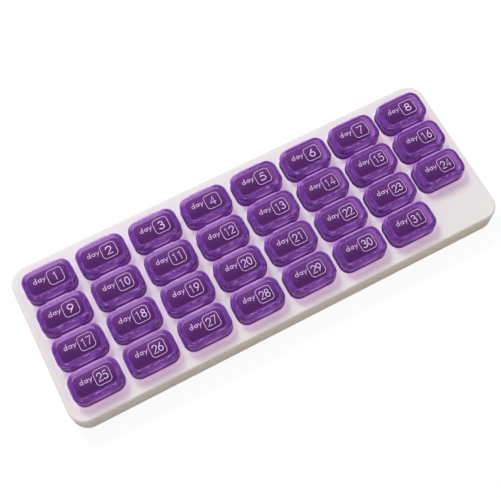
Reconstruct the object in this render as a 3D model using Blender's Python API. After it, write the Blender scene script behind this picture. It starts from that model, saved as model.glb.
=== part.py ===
"""A monthly pill organizer: a white tray with 31 lift-out pods, one for each day of the month.

Each pod is a small tub with a flip-top lid. The tubs stand in wells in the tray, in four rows
of eight, and the last place of the front row has no well. The lid turns on a thin hinge web
that hides in a recess in its back edge. It has a sunk panel, a thumb tab in front, and a plug
ring that fits inside the tub. X runs along the rows, Y from the front row to the back row, and
Z is up. The origin is the middle of the tray's underside, on the table. All lengths are in
metres.
"""

from math import cos, pi, radians, sin

import bmesh
import bpy
from mathutils import Matrix, Vector

# How many of each
COLUMNS = 8
ROWS = 4
DAYS = 31
JOINED_PODS = 3
CORNER_STEPS = 3
TRAY_CORNER_STEPS = 6
TRAY_EDGE_STEPS = 3

# Lid, seen from above
LID_LENGTH = 0.0346
LID_WIDTH = 0.0224
LID_CORNER_RADIUS = 0.0072

# Lid, in section
LID_HEIGHT = 0.0030
LID_SHOULDER_WIDTH = 0.0005
LID_SHOULDER_DROP = 0.0009
LID_CREST_INSET = 0.0032
PANEL_INSET = 0.0042
PANEL_DEPTH = 0.0008
PANEL_THICKNESS = 0.0011
PLUG_DEPTH = 0.0013
PLUG_WALL = 0.0010
PLUG_CLEARANCE = 0.0003

# Thumb tab in the middle of the lid's front edge
TAB_LENGTH = 0.0145
TAB_REACH = 0.0010
TAB_HEIGHT = 0.0009
TAB_CORNER = 0.0008

# Tub under the lid
LID_OVERHANG = 0.00055
TUB_WALL = 0.0012
TUB_FLOOR = 0.0014
TUB_DRAFT = 0.0006
TUB_RISE = 0.0072
SEAT_GAP = 0.0003

# Hinge web between tub and lid
HINGE_LENGTH = 0.0150
HINGE_REACH = 0.0002
HINGE_RISE = 0.0006
WEB_THICKNESS = 0.00035
WEB_GAP = 0.00030
WEB_PAST_AXIS = 0.00010
SHELF_HEIGHT = 0.0010

# Tray
COLUMN_GAP = 0.00395
ROW_GAP = 0.00272
END_MARGIN = 0.00778
SIDE_MARGIN = 0.00932
TRAY_HEIGHT = 0.0167
TRAY_CORNER_RADIUS = 0.0120
TRAY_EDGE_ROUNDING = 0.0016
TRAY_WALL = 0.0018
TRAY_DRAFT = 0.0004
DECK_THICKNESS = 0.0018
WELL_CLEARANCE = 0.0004
WELL_WALL = 0.0012
WELL_FLOOR = 0.0012
GROUND_CLEARANCE = 0.0006

# Faces that meet at a wider angle than this keep a crisp edge; a corner's facets don't
CRISP_ANGLE = radians(32)

# How far a cutting shape reaches past the face that it cuts, and joined shapes into each other
OVERRUN = 0.0010
BITE = 0.0003

# Places that follow from the sizes above
COLUMN_PITCH = LID_LENGTH + COLUMN_GAP
ROW_PITCH = LID_WIDTH + ROW_GAP
TRAY_LENGTH = (COLUMNS - 1) * COLUMN_PITCH + LID_LENGTH + 2 * END_MARGIN
TRAY_WIDTH = (ROWS - 1) * ROW_PITCH + LID_WIDTH + 2 * SIDE_MARGIN
WELL_BOTTOM = GROUND_CLEARANCE + WELL_FLOOR
TUB_BOTTOM = WELL_BOTTOM + SEAT_GAP
TUB_RIM = TRAY_HEIGHT + TUB_RISE
LID_BOTTOM = TUB_RIM + SEAT_GAP
LID_TOP = LID_BOTTOM + LID_HEIGHT
PLUG_INSET = LID_OVERHANG + TUB_WALL + PLUG_CLEARANCE
HINGE_Y = LID_WIDTH / 2 + HINGE_REACH
HINGE_Z = LID_BOTTOM + HINGE_RISE

# Colour, roughness and opacity of each plastic
TRAY_PLASTIC = ("tray_white_plastic", (0.86, 0.85, 0.86), 0.38, 1.0)
TUB_PLASTIC = ("tub_violet_plastic", (0.135, 0.030, 0.330), 0.22, 0.82)
LID_PLASTIC = ("lid_violet_plastic", (0.110, 0.024, 0.270), 0.20, 0.86)


def clear_scene():
    """Removes whatever the file holds."""
    for old in list(bpy.data.objects):
        bpy.data.objects.remove(old, do_unlink=True)


def plastic(name, colour, roughness, opacity):
    """A moulded plastic of one colour."""
    material = bpy.data.materials.new(name)
    material.use_nodes = True
    shader = material.node_tree.nodes["Principled BSDF"]
    shader.inputs["Base Color"].default_value = (*colour, 1.0)
    shader.inputs["Roughness"].default_value = roughness
    shader.inputs["Metallic"].default_value = 0.0
    shader.inputs["Alpha"].default_value = opacity
    return material


def corner_ring(bm, length, width, radius, height, steps):
    """Adds the points of a rounded rectangle at one height."""
    verts = []
    for quarter, (side_x, side_y) in enumerate(((1, 1), (-1, 1), (-1, -1), (1, -1))):
        centre_x = side_x * (length / 2 - radius)
        centre_y = side_y * (width / 2 - radius)
        for step in range(steps + 1):
            angle = (quarter + step / steps) * pi / 2
            x = centre_x + radius * cos(angle)
            y = centre_y + radius * sin(angle)
            verts.append(bm.verts.new((x, y, height)))
    return verts


def swept_form(name, length, width, radius, profile, steps=CORNER_STEPS):
    """A closed form whose section follows profile all the way round a rounded rectangle.

    The profile is a list of points (inset, height): how far in from the rectangle, and how
    high. Each ring of points is joined to the next one, point by point, and the first and
    the last ring are closed with flat faces.
    """
    bm = bmesh.new()
    rings = []
    for inset, height in profile:
        size = (length - 2 * inset, width - 2 * inset, radius - inset)
        rings.append(corner_ring(bm, *size, height, steps))
    for ring, following in zip(rings, rings[1:]):
        for corner in range(len(ring)):
            bm.faces.new((ring[corner - 1], ring[corner], following[corner], following[corner - 1]))
    for end in (rings[0], rings[-1]):
        bm.faces.new(end)
    return mesh_of(bm, name)


def bar(name, outline, length):
    """A bar along X whose section is a list of points (y, z)."""
    bm = bmesh.new()
    verts = [bm.verts.new((-length / 2, y, z)) for y, z in outline]
    face = bm.faces.new(verts)
    moved = bmesh.ops.extrude_face_region(bm, geom=[face])["geom"]
    far_side = [v for v in moved if isinstance(v, bmesh.types.BMVert)]
    bmesh.ops.translate(bm, verts=far_side, vec=(length, 0, 0))
    return mesh_of(bm, name)


def mesh_of(bm, name):
    """Turns the closed form into a mesh whose faces point out."""
    bmesh.ops.recalc_face_normals(bm, faces=bm.faces[:])
    if bm.calc_volume(signed=True) < 0:
        bmesh.ops.reverse_faces(bm, faces=bm.faces[:])
    mesh = bpy.data.meshes.new(name)
    bm.to_mesh(mesh)
    bm.free()
    return mesh


def placed(name, mesh, parent=None, at=(0, 0, 0)):
    """Adds an object that shows the mesh."""
    thing = bpy.data.objects.new(name, mesh)
    thing.location = at
    thing.parent = parent
    bpy.context.scene.collection.objects.link(thing)
    return thing


def guide(name, mesh, at=(0, 0, 0), collection=None):
    """Adds a cutting or joining shape, which isn't a piece of the organizer."""
    shape = bpy.data.objects.new(name, mesh)
    shape.location = at
    shape.hide_render = True
    shape.display_type = "WIRE"
    (collection or bpy.context.scene.collection).objects.link(shape)
    return shape


def boolean(thing, operation, shape):
    """Adds a Boolean modifier with one shape or with a collection of them."""
    modifier = thing.modifiers.new(operation.lower(), "BOOLEAN")
    modifier.operation = operation
    modifier.solver = "EXACT"
    if isinstance(shape, bpy.types.Collection):
        modifier.operand_type = "COLLECTION"
        modifier.collection = shape
    else:
        modifier.object = shape


def combined(name, mesh, steps):
    """Cuts the mesh and adds to it, one step after another, into one closed form.

    A step is the operation, a word for the shape, and the shape.
    """
    base = guide(f"{name}_base", mesh)
    shapes = []
    for operation, word, form in steps:
        shapes.append(guide(f"{name}_{word}", form))
        boolean(base, operation, shapes[-1])
    graph = bpy.context.evaluated_depsgraph_get()
    result = bpy.data.meshes.new_from_object(base.evaluated_get(graph))
    result.name = name
    for shape in [base, *shapes]:
        bpy.data.objects.remove(shape, do_unlink=True)
    return result


def smooth_round_sides(mesh, material):
    """Shades the corners round, keeps the edges crisp, and gives the mesh its plastic."""
    mesh.materials.clear()
    mesh.materials.append(material)
    mesh.shade_smooth()
    mesh.set_sharp_from_angle(angle=CRISP_ANGLE)


def tub_inset(height):
    """How far the tub's outside lies in from the lid's outline at a height."""
    return LID_OVERHANG + TUB_DRAFT * (TUB_RIM - height) / (TUB_RIM - TUB_BOTTOM)


def tub_mesh():
    """The tub: tapered walls, a floor, and half of the hinge web on its back."""
    inner_top = LID_OVERHANG + TUB_WALL
    floor = TUB_BOTTOM + TUB_FLOOR
    profile = [
        (tub_inset(floor) + TUB_WALL, floor),
        (inner_top, TUB_RIM),
        (LID_OVERHANG, TUB_RIM),
        (tub_inset(TUB_BOTTOM), TUB_BOTTOM),
    ]
    walls = swept_form("tub_walls", LID_LENGTH, LID_WIDTH, LID_CORNER_RADIUS, profile)
    return combined("tub", walls, [("UNION", "web", lower_web())])


def lower_web():
    """A shelf out of the tub's back wall, which turns up to just under the hinge line."""
    wall = LID_WIDTH / 2 - LID_OVERHANG - TUB_WALL / 2
    back = HINGE_Y + WEB_THICKNESS / 2
    front = back - WEB_THICKNESS
    top = HINGE_Z - WEB_GAP + WEB_PAST_AXIS
    shelf_top = TUB_RIM - SEAT_GAP
    shelf_bottom = shelf_top - SHELF_HEIGHT
    outline = [
        (wall, shelf_bottom),
        (front, shelf_bottom),
        (back, shelf_bottom + WEB_THICKNESS),
        (back, top),
        (front, top),
        (front, shelf_top),
        (wall, shelf_top),
    ]
    return bar("lower_web", outline, HINGE_LENGTH)


def lid_mesh():
    """The lid: a sunk panel in a ridged rim, a plug ring below, a tab and half of the web."""
    ring_low = LID_BOTTOM - PLUG_DEPTH
    profile = [
        (PANEL_INSET, LID_TOP - PANEL_DEPTH),
        (LID_CREST_INSET, LID_TOP),
        (LID_SHOULDER_WIDTH, LID_TOP - LID_SHOULDER_DROP),
        (0, LID_BOTTOM),
        (PLUG_INSET, LID_BOTTOM),
        (PLUG_INSET, ring_low),
        (PLUG_INSET + PLUG_WALL, ring_low),
        (PLUG_INSET + PLUG_WALL, LID_TOP - PANEL_DEPTH - PANEL_THICKNESS),
    ]
    shell = swept_form("lid_shell", LID_LENGTH, LID_WIDTH, LID_CORNER_RADIUS, profile)
    steps = [
        ("DIFFERENCE", "recess", web_recess()),
        ("UNION", "tab", tab_mesh()),
        ("UNION", "web", upper_web()),
    ]
    return combined("lid", shell, steps)


def tab_mesh():
    """The thumb tab, with its front corners cut off."""
    front = -LID_WIDTH / 2 - TAB_REACH
    root = -LID_WIDTH / 2 + LID_SHOULDER_WIDTH + BITE
    half = TAB_LENGTH / 2
    bm = bmesh.new()
    outline = [
        (-half, root),
        (-half, front + TAB_CORNER),
        (-half + TAB_CORNER, front),
        (half - TAB_CORNER, front),
        (half, front + TAB_CORNER),
        (half, root),
    ]
    verts = [bm.verts.new((x, y, LID_BOTTOM)) for x, y in outline]
    face = bm.faces.new(verts)
    moved = bmesh.ops.extrude_face_region(bm, geom=[face])["geom"]
    upper = [v for v in moved if isinstance(v, bmesh.types.BMVert)]
    bmesh.ops.translate(bm, verts=upper, vec=(0, 0, TAB_HEIGHT))
    return mesh_of(bm, "tab")


def upper_web():
    """The lid's half of the hinge web: a thin strip that ends just past the hinge line."""
    root = LID_WIDTH / 2 - PLUG_INSET
    tip = HINGE_Y + WEB_PAST_AXIS
    bottom = HINGE_Z + WEB_PAST_AXIS
    top = bottom + WEB_THICKNESS
    outline = [(root, bottom), (tip, bottom), (tip, top), (root, top)]
    return bar("upper_web", outline, HINGE_LENGTH)


def web_recess():
    """The room in the lid's back edge for the tub's half of the web."""
    front = HINGE_Y - WEB_THICKNESS / 2 - WEB_GAP
    back = HINGE_Y + OVERRUN
    bottom = LID_BOTTOM - OVERRUN
    top = HINGE_Z + WEB_PAST_AXIS + WEB_THICKNESS / 2
    outline = [(front, bottom), (back, bottom), (back, top), (front, top)]
    return bar("web_recess", outline, HINGE_LENGTH + 2 * WEB_GAP)


def joined_pod_mesh(tub, lid):
    """A whole pod as it is moulded, its closed lid still on the unbroken hinge web."""
    back = HINGE_Y + WEB_PAST_AXIS
    front = HINGE_Y - WEB_PAST_AXIS
    bottom = LID_BOTTOM
    top = HINGE_Z + WEB_PAST_AXIS + WEB_THICKNESS / 2
    outline = [(front, bottom), (back, bottom), (back, top), (front, top)]
    fold = bar("fold", outline, HINGE_LENGTH - 2 * BITE)
    return combined("joined_pod", tub, [("UNION", "lid", lid), ("UNION", "fold", fold)])


def tray_body():
    """The tray's outside: sloping sides, a rounded top edge and a flat deck."""
    profile = [(0, 0)]
    for step in range(TRAY_EDGE_STEPS + 1):
        angle = step / TRAY_EDGE_STEPS * pi / 2
        inset = TRAY_DRAFT + TRAY_EDGE_ROUNDING * (1 - cos(angle))
        height = TRAY_HEIGHT - TRAY_EDGE_ROUNDING * (1 - sin(angle))
        profile.append((inset, height))
    size = (TRAY_LENGTH, TRAY_WIDTH, TRAY_CORNER_RADIUS)
    return swept_form("tray_body", *size, profile, TRAY_CORNER_STEPS)


def tray_hollow():
    """The space under the deck, inside the skirt."""
    profile = [(TRAY_WALL, -OVERRUN), (TRAY_WALL + TRAY_DRAFT, TRAY_HEIGHT - DECK_THICKNESS)]
    size = (TRAY_LENGTH, TRAY_WIDTH, TRAY_CORNER_RADIUS)
    return swept_form("tray_hollow", *size, profile, TRAY_CORNER_STEPS)


def well_cutter():
    """One well: the tub's outside and its running clearance."""
    high = TRAY_HEIGHT + OVERRUN
    profile = [
        (tub_inset(WELL_BOTTOM) - WELL_CLEARANCE, WELL_BOTTOM),
        (tub_inset(high) - WELL_CLEARANCE, high),
    ]
    return swept_form("well", LID_LENGTH, LID_WIDTH, LID_CORNER_RADIUS, profile)


def well_block(rows):
    """The moulding that hangs under the deck around the wells of one column."""
    outset = WELL_WALL + WELL_CLEARANCE - tub_inset(TRAY_HEIGHT)
    width = (rows - 1) * ROW_PITCH + LID_WIDTH
    profile = [(-outset, GROUND_CLEARANCE), (-outset, TRAY_HEIGHT)]
    return swept_form(f"block_{rows}", LID_LENGTH, width, LID_CORNER_RADIUS, profile)


def column_x(column):
    """Where a column of pods is centred."""
    return (column - (COLUMNS - 1) / 2) * COLUMN_PITCH


def row_y(row):
    """Where a row of pods is centred, counted from the back."""
    return ((ROWS - 1) / 2 - row) * ROW_PITCH


def pod_place(day):
    """The middle of a day's pod, on the table."""
    row, column = divmod(day - 1, COLUMNS)
    return Vector((column_x(column), row_y(row), 0))


def new_collection(name):
    """A collection for shapes that cut together."""
    collection = bpy.data.collections.new(name)
    bpy.context.scene.collection.children.link(collection)
    return collection


def make_tray(material):
    """The tray: a skirted shell with a well for each day."""
    blocks = new_collection("well_blocks")
    for column in range(COLUMNS):
        rows = len(range(column + 1, DAYS + 1, COLUMNS))
        middle = (row_y(0) + row_y(rows - 1)) / 2
        guide(f"block_{column}", well_block(rows), (column_x(column), middle, 0), blocks)
    wells = new_collection("wells")
    well = well_cutter()
    for day in range(1, DAYS + 1):
        guide(f"well_{day:02}", well, pod_place(day), wells)
    hollow = guide("hollow", tray_hollow())
    boolean(hollow, "DIFFERENCE", blocks)
    mesh = tray_body()
    smooth_round_sides(mesh, material)
    tray = placed("tray", mesh)
    boolean(tray, "DIFFERENCE", hollow)
    boolean(tray, "DIFFERENCE", wells)
    return tray


def make_pods(tray, tub_material, lid_material):
    """A tub and a lid for each day, and the last few days' pods in one piece each."""
    to_hinge = Vector((0, HINGE_Y, HINGE_Z))
    tub = tub_mesh()
    lid = lid_mesh()
    whole = joined_pod_mesh(tub, lid)
    lid.transform(Matrix.Translation(-to_hinge))
    for mesh, material in ((tub, tub_material), (lid, lid_material), (whole, tub_material)):
        smooth_round_sides(mesh, material)
    for day in range(1, DAYS + 1):
        if day > DAYS - JOINED_PODS:
            placed(f"pod_day_{day:02}", whole, tray, pod_place(day))
        else:
            holder = placed(f"tub_day_{day:02}", tub, tray, pod_place(day))
            placed(f"lid_day_{day:02}", lid, holder, to_hinge)


def main():
    clear_scene()
    tray = make_tray(plastic(*TRAY_PLASTIC))
    make_pods(tray, plastic(*TUB_PLASTIC), plastic(*LID_PLASTIC))


main()
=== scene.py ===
# %% [markdown]
# A monthly pill organizer: a low white tray with 31 lift-out day pods, each a small violet tub
# with a flip-top lid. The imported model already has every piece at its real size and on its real
# joint. This script gives the pieces their fine forms, their plastics and the light, piece by
# piece, and each new piece rides on the body that carries it.

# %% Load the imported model
from math import cos, pi, radians, sin

import bmesh
import bpy
from mathutils import Matrix, Vector


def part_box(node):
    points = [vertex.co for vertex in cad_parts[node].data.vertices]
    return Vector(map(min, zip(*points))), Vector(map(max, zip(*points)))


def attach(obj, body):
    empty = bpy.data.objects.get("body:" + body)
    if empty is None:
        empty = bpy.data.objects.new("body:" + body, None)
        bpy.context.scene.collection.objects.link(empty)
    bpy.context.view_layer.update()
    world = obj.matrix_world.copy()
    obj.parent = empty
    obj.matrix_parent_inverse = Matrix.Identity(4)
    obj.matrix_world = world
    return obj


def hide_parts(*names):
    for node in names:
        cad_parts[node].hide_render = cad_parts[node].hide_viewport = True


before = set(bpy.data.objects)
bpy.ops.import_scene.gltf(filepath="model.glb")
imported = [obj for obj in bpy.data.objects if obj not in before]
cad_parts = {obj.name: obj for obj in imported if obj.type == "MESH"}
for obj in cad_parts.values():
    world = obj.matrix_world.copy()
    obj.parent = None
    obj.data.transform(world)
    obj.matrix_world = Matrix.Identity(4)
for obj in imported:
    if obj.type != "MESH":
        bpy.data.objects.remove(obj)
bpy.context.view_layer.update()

MM = 0.001

# %% [markdown]
# Real sizes come first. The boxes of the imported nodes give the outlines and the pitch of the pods,
# so a piece made here lands where its solid is. The sizes that no box shows, such as a corner
# radius or a wall, are written once, in millimetres.

# %% Read the outlines from the frame
DAYS = 31
COLUMNS = 8
ROWS = 4
JOINED_DAYS = (29, 30, 31)

tray_low, tray_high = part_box("tray")
tub_low, tub_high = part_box("tub_day_01")
lid_low, lid_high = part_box("lid_day_01")
first_middle_x = (tub_low.x + tub_high.x) / 2
column_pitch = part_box("tub_day_02")[0].x - tub_low.x
row_pitch = tub_low.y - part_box("tub_day_09")[0].y

LID_LENGTH = lid_high.x - lid_low.x
LID_WIDTH = 22.4 * MM
LID_CORNER = 7.2 * MM
LID_TOP = lid_high.z
LID_BOTTOM = LID_TOP - 3.0 * MM
TAB_REACH = 1.0 * MM
first_middle_y = lid_low.y + TAB_REACH + LID_WIDTH / 2
DECK_TOP = tray_high.z


def pod_middle(day):
    """The middle of a day's pod, on the table."""
    row, column = divmod(day - 1, COLUMNS)
    return Vector((first_middle_x + column * column_pitch, first_middle_y - row * row_pitch, 0))


print("a lid is", round(LID_LENGTH / MM, 2), "mm long; pitches", round(column_pitch / MM, 2), "and",
      round(row_pitch / MM, 2), "mm; day 31 is at", [round(v / MM, 1) for v in pod_middle(DAYS)])

# %% [markdown]
# Blender's operators act on whatever is selected, and loading the model leaves it all selected.
# So a few helpers keep the handwork tidy: one adds a block with nothing else selected, one
# selects faces or edges by a rule on their place, and one finishes a form's shading.

# %% Helpers for modelling by hand
TINY = 0.002 * MM


def add_block(name, length, width, bottom, top):
    """Adds a cube and gives it a real length, width and height."""
    bpy.ops.object.select_all(action="DESELECT")
    bpy.ops.mesh.primitive_cube_add(size=1, location=(0, 0, (bottom + top) / 2))
    block = bpy.context.object
    block.name = name
    block.scale = (length, width, top - bottom)
    bpy.ops.object.transform_apply(location=True, rotation=True, scale=True)
    return block


def choose(piece, kind, rule):
    """In edit mode, selects only the faces, edges or corners for which the rule is true."""
    bpy.ops.mesh.select_mode(type=kind)
    bpy.ops.mesh.select_all(action="DESELECT")
    form = bmesh.from_edit_mesh(piece.data)
    parts = {"FACE": form.faces, "EDGE": form.edges, "VERT": form.verts}[kind]
    chosen = [part for part in parts if rule(part)]
    for part in chosen:
        part.select_set(True)
    bmesh.update_edit_mesh(piece.data)
    return len(chosen)


def level(edge, height):
    """Whether an edge lies at one height."""
    return all(abs(vert.co.z - height) < TINY for vert in edge.verts)


def upright(edge):
    """Whether an edge stands on end."""
    first, second = edge.verts
    return (first.co - second.co).xy.length < TINY


def facing(face, axis, way):
    """Whether a face looks along an axis, 1 or -1 the way to look."""
    return face.normal[axis] * way > 0.9


def round_block(name, length, width, radius, bottom, top, steps=10):
    """A block whose four upright edges are rounded."""
    block = add_block(name, length, width, bottom, top)
    bpy.ops.object.mode_set(mode="EDIT")
    choose(block, "EDGE", upright)
    bpy.ops.mesh.bevel(offset=radius, segments=steps, affect="EDGES")
    return block


def step_in(inset, rise):
    """Adds a ring inside the chosen flat face, and lifts the face by the rise, along its normal."""
    bpy.ops.mesh.inset(thickness=inset, depth=rise)


def soften(piece, height, radius, steps):
    """Rounds the ring of edges at one height."""
    choose(piece, "EDGE", lambda edge: level(edge, height))
    bpy.ops.mesh.bevel(offset=radius, segments=steps, affect="EDGES")


def shade(piece, angle=35):
    """Leaves edit mode, shades curves smooth and keeps the big flat faces flat."""
    bpy.ops.object.mode_set(mode="OBJECT")
    bpy.ops.object.select_all(action="DESELECT")
    piece.select_set(True)
    bpy.context.view_layer.objects.active = piece
    bpy.ops.object.shade_smooth_by_angle(angle=radians(angle))
    bpy.ops.object.modifier_add(type="WEIGHTED_NORMAL")
    piece.modifiers[-1].keep_sharp = True
    bpy.ops.object.modifier_apply(modifier=piece.modifiers[-1].name)


def measured(piece):
    """Says how big a finished form is."""
    corners = [Vector(corner) for corner in piece.bound_box]
    size = [max(c[i] for c in corners) - min(c[i] for c in corners) for i in range(3)]
    print(piece.name, len(piece.data.polygons), "faces,", [round(v / MM, 2) for v in size], "mm")


# %% [markdown]
# The lid is a thin moulded cap. From the side it has a small lip along its lower edge, a steep
# skirt, a shoulder that slopes up to a ridge, and inside the ridge a panel sunk by half a
# millimetre. It could be turned from a profile, but its outline isn't round. Insetting the top
# face again and again, each time with a rise, sweeps the same profile round any outline. The
# ridge isn't quite in the middle: it stands closer to the front edge than to the back and the
# sides, so its ring is scaled and moved a little before the panel is sunk.

# %% Model the lid's outside
LIP_HEIGHT = 0.55 * MM
LIP_STEP = 0.16 * MM
SHOULDER_INSET = 0.55 * MM
SHOULDER_DROP = 0.90 * MM
SLOPE_MIDDLE = (1.65 * MM, 0.34 * MM)
RIDGE_OUTSIDE = 2.70 * MM
RIDGE_INSIDE = 3.30 * MM
PANEL_INSET = 3.75 * MM
PANEL_DEPTH = 0.5 * MM
RING_SCALE = (0.955, 0.955, 1)
RING_SHIFT = -0.30 * MM

lid = round_block("lid_form", LID_LENGTH, LID_WIDTH, LID_CORNER, LID_BOTTOM, LID_BOTTOM + LIP_HEIGHT)
choose(lid, "FACE", lambda face: facing(face, 2, 1))
step_in(LIP_STEP, LIP_STEP)
shoulder_height = LID_TOP - SHOULDER_DROP
step_in(SHOULDER_INSET - LIP_STEP, shoulder_height - LID_BOTTOM - LIP_HEIGHT - LIP_STEP)
step_in(SLOPE_MIDDLE[0] - SHOULDER_INSET, SHOULDER_DROP - SLOPE_MIDDLE[1])
step_in(RIDGE_OUTSIDE - SLOPE_MIDDLE[0], SLOPE_MIDDLE[1])
bpy.ops.transform.resize(value=RING_SCALE, center_override=(0, 0, LID_TOP))
bpy.ops.transform.translate(value=(0, RING_SHIFT, 0))
step_in(RIDGE_INSIDE - RIDGE_OUTSIDE, 0)
step_in(PANEL_INSET - RIDGE_INSIDE, -PANEL_DEPTH)
panel_height = LID_TOP - PANEL_DEPTH
print("the panel lies", round(panel_height / MM, 2), "mm up")

# %% [markdown]
# Under the lid a ring plugs into the tub's mouth, which keeps the lid shut and the dust out. The
# bottom face is inset to the ring's outside, pushed down, inset by the ring's wall, and pushed
# back up to the underside of the panel.

# %% Model the plug ring under the lid
OVERHANG = 0.55 * MM
TUB_WALL = 1.2 * MM
PLUG_CLEARANCE = 0.3 * MM
PLUG_WALL = 1.0 * MM
PANEL_THICKNESS = 1.1 * MM
PLUG_TAPER = 0.15 * MM
HOLLOW_TAPER = 0.1 * MM
plug_bottom = lid_low.z

choose(lid, "FACE", lambda face: facing(face, 2, -1))
step_in(OVERHANG + TUB_WALL + PLUG_CLEARANCE, 0)
step_in(PLUG_TAPER, LID_BOTTOM - plug_bottom)
step_in(PLUG_WALL - PLUG_TAPER, 0)
step_in(HOLLOW_TAPER, -(panel_height - PANEL_THICKNESS - plug_bottom))
print("the plug ring reaches", round((LID_BOTTOM - plug_bottom) / MM, 2), "mm below the lid")

# %% [markdown]
# In front a thumb tab sticks out of the skirt, and behind, a thin strip reaches back to the fold
# of the hinge. Both grow out of the skirt: bisect cuts their outline into the skirt's faces, and
# the faces inside the outline are extruded and flattened. More cuts across the tab let its front
# be drawn back towards both ends, into a crescent.

# %% Grow the tab and the hinge strip out of the skirt
TAB_LENGTH = 14.5 * MM
TAB_HEIGHT = 0.9 * MM
TAB_BACK = 0.85 * MM
TAB_CUTS = (2.4 * MM, 4.2 * MM, 5.6 * MM, 6.6 * MM)
HINGE_LENGTH = 15.0 * MM
STRIP_LOW = 0.7 * MM
STRIP_THICKNESS = 0.35 * MM


def outward(way):
    """A rule for the skirt's long side that looks back (1) or to the front (-1)."""
    def rule(face):
        middle = face.calc_center_median()
        on_skirt = middle.z > LID_BOTTOM and middle.y * way > LID_WIDTH / 2 - OVERHANG
        return on_skirt and face.normal.y * way > 0.5
    return rule


def cut_selected(point, normal):
    """Cuts the chosen faces along a plane and keeps both halves."""
    bpy.ops.mesh.bisect(plane_co=point, plane_no=normal)


def cut_outline(piece, side, half, heights):
    """Cuts a rectangle's outline into one long side of a piece."""
    for x in (-half, half):
        choose(piece, "FACE", side)
        cut_selected((x, 0, 0), (1, 0, 0))
    for z in heights:
        choose(piece, "FACE", side)
        cut_selected((0, 0, z), (0, 0, 1))


def pull_out(piece, side, half, low, high, reach):
    """Extrudes the faces inside the outline and lays their outer side flat at the reach."""
    def inside(face):
        middle = face.calc_center_median()
        return side(face) and abs(middle.x) < half and low < middle.z < high
    choose(piece, "FACE", inside)
    bpy.ops.mesh.extrude_region_move()
    bpy.ops.transform.resize(value=(1, 0, 1), center_override=(0, reach, 0))


tab_front = -(LID_WIDTH / 2 + TAB_REACH)
cut_outline(lid, outward(-1), TAB_LENGTH / 2, [LID_BOTTOM + TAB_HEIGHT])
pull_out(lid, outward(-1), TAB_LENGTH / 2, LID_BOTTOM, LID_BOTTOM + TAB_HEIGHT, tab_front)
strip_low = LID_BOTTOM + STRIP_LOW
strip_high = strip_low + STRIP_THICKNESS
strip_back = lid_high.y - first_middle_y
cut_outline(lid, outward(1), HINGE_LENGTH / 2, [strip_low, strip_high])
pull_out(lid, outward(1), HINGE_LENGTH / 2, strip_low, strip_high, strip_back)
for place in (*[-cut for cut in reversed(TAB_CUTS)], 0, *TAB_CUTS):
    choose(lid, "FACE", lambda face: face.calc_center_median().y < -LID_WIDTH / 2 - TINY)
    cut_selected((place, 0, 0), (1, 0, 0))
for place in (*TAB_CUTS, TAB_LENGTH / 2):
    choose(lid, "VERT", lambda vert: vert.co.y < tab_front + TINY
           and abs(abs(vert.co.x) - place) < TINY)
    bpy.ops.transform.translate(value=(0, TAB_BACK * (place / (TAB_LENGTH / 2)) ** 3, 0))
print("the tab reaches", round(-tab_front / MM, 2), "mm and the strip", round(strip_back / MM, 2), "mm")

# %% [markdown]
# A mould has no sharp outer edge. The rings at the shoulder, the ridge and the panel's foot are
# bevelled, and these small roundings are what draws the thin bright lines on every lid.

# %% Round the lid's edges
TAB_ROUNDING = 0.35 * MM
SHOULDER_ROUNDING = 0.50 * MM
SLOPE_ROUNDING = 0.40 * MM
RIDGE_ROUNDING = 0.26 * MM
FOOT_ROUNDING = 0.22 * MM


def tab_rim(edge):
    """Whether an edge is on the tab's upper rim; the cuts across its flat top are not."""
    in_front = all(vert.co.y < -LID_WIDTH / 2 - 0.05 * MM for vert in edge.verts)
    return in_front and level(edge, LID_BOTTOM + TAB_HEIGHT) and edge.calc_face_angle(0) > 1


print(choose(lid, "EDGE", tab_rim), "edges along the tab's rim")
bpy.ops.mesh.bevel(offset=TAB_ROUNDING, segments=4, affect="EDGES")
soften(lid, shoulder_height, SHOULDER_ROUNDING, 5)
soften(lid, LID_TOP - SLOPE_MIDDLE[1], SLOPE_ROUNDING, 3)
soften(lid, LID_TOP, RIDGE_ROUNDING, 4)
soften(lid, panel_height, FOOT_ROUNDING, 3)
bpy.ops.object.mode_set(mode="OBJECT")

# %% [markdown]
# The tub's half of the hinge stands in a shallow recess in the lid's back, so that it doesn't
# stick out. The recess is cut with a block and a Boolean modifier, and it stays clear of the
# strip above it.

# %% Cut the recess for the hinge
HINGE_CLEARANCE = 0.3 * MM
STRIP_GAP = 0.05 * MM
OVERRUN = 1.0 * MM


def cut_away(piece, cutters):
    """Applies one Boolean with a collection of cutters and throws the cutters away."""
    group = bpy.data.collections.new("cutters")
    bpy.context.scene.collection.children.link(group)
    for cutter in cutters:
        for old in list(cutter.users_collection):
            old.objects.unlink(cutter)
        group.objects.link(cutter)
    bpy.ops.object.select_all(action="DESELECT")
    piece.select_set(True)
    bpy.context.view_layer.objects.active = piece
    modifier = piece.modifiers.new("cut", "BOOLEAN")
    modifier.operand_type = "COLLECTION"
    modifier.collection = group
    bpy.ops.object.modifier_apply(modifier=modifier.name)
    for cutter in cutters:
        bpy.data.objects.remove(cutter, do_unlink=True)
    bpy.data.collections.remove(group)


upright_back = tub_high.y - first_middle_y
recess_front = upright_back - STRIP_THICKNESS - HINGE_CLEARANCE
recess_length = HINGE_LENGTH + 2 * HINGE_CLEARANCE
recess = add_block("recess", recess_length, 2 * OVERRUN, LID_BOTTOM - OVERRUN, strip_low - STRIP_GAP)
recess.data.transform(Matrix.Translation((0, recess_front + OVERRUN, 0)))
cut_away(lid, [recess])
shade(lid)
measured(lid)

# %% [markdown]
# The tub is a drawn cup: its walls lean in towards the floor, so that it leaves the mould and
# slides into its well. It starts at the rim and is built downwards with one inset that also
# drops, and then inwards the same way for the hollow.

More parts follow.
